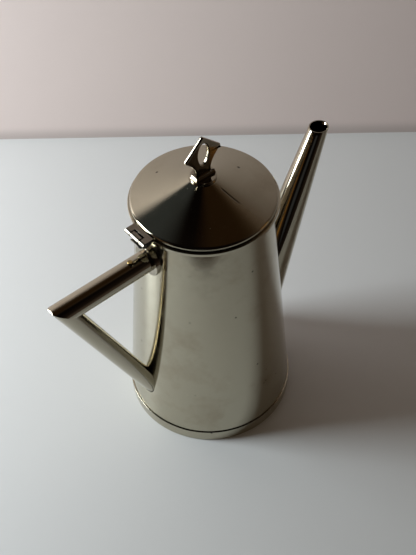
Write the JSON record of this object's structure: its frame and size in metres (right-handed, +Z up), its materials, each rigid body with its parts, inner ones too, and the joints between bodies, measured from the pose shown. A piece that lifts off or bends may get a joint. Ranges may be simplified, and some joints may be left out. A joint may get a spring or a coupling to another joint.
{
  "type": "chocolate pot",
  "caption": "Tapered metal pot with a hinged conical lid, pierced blade finial, long straight spout and angular tube handle.",
  "frame": {"origin": "centre of the foot ring's underside, on the surface that the pot stands on", "axes": "+Z up along the pot's axis, +X towards the spout, -X towards the handle and the lid's hinge"},
  "size_m": [0.1745, 0.0946, 0.186],
  "materials": {
    "wall_metal": "polished, faintly worn",
    "spout_metal": "polished",
    "ring_metal": "polished",
    "handle_metal": "polished, faintly worn",
    "hinge_metal": "polished",
    "lid_metal": "polished, fine scratches",
    "finial_metal": "polished",
    "pin_brass": "worn plate over brass",
    "pin_steel": "turned"
  },
  "bodies": {
    "pot": {"body_shell": "wall_metal", "floor_plate": "wall_metal", "spout": "spout_metal", "foot_ring": "ring_metal", "rim_ring": "ring_metal", "handle_collar": "handle_metal", "handle_upper_tube": "handle_metal", "handle_lower_tube": "handle_metal", "body_hinge_leaf": "hinge_metal", "handle_pin": "pin_brass"},
    "lid": {"lid_shell": "lid_metal", "lid_edge_ring": "ring_metal", "lid_bezel": "ring_metal", "lid_hinge_leaf": "hinge_metal", "hinge_pin": "pin_steel", "finial_foot": "finial_metal", "finial_blade": "finial_metal", "finial_stud": "pin_steel", "finial_washer": "pin_steel", "finial_nut": "pin_brass"}
  },
  "joints": [
    {"name": "lid_hinge", "type": "hinge", "parent": "pot", "child": "lid", "pos_m": [-0.0409, 0, 0.1484], "axis": [0, -1, 0], "range_deg": [0, 110]}
  ]
}
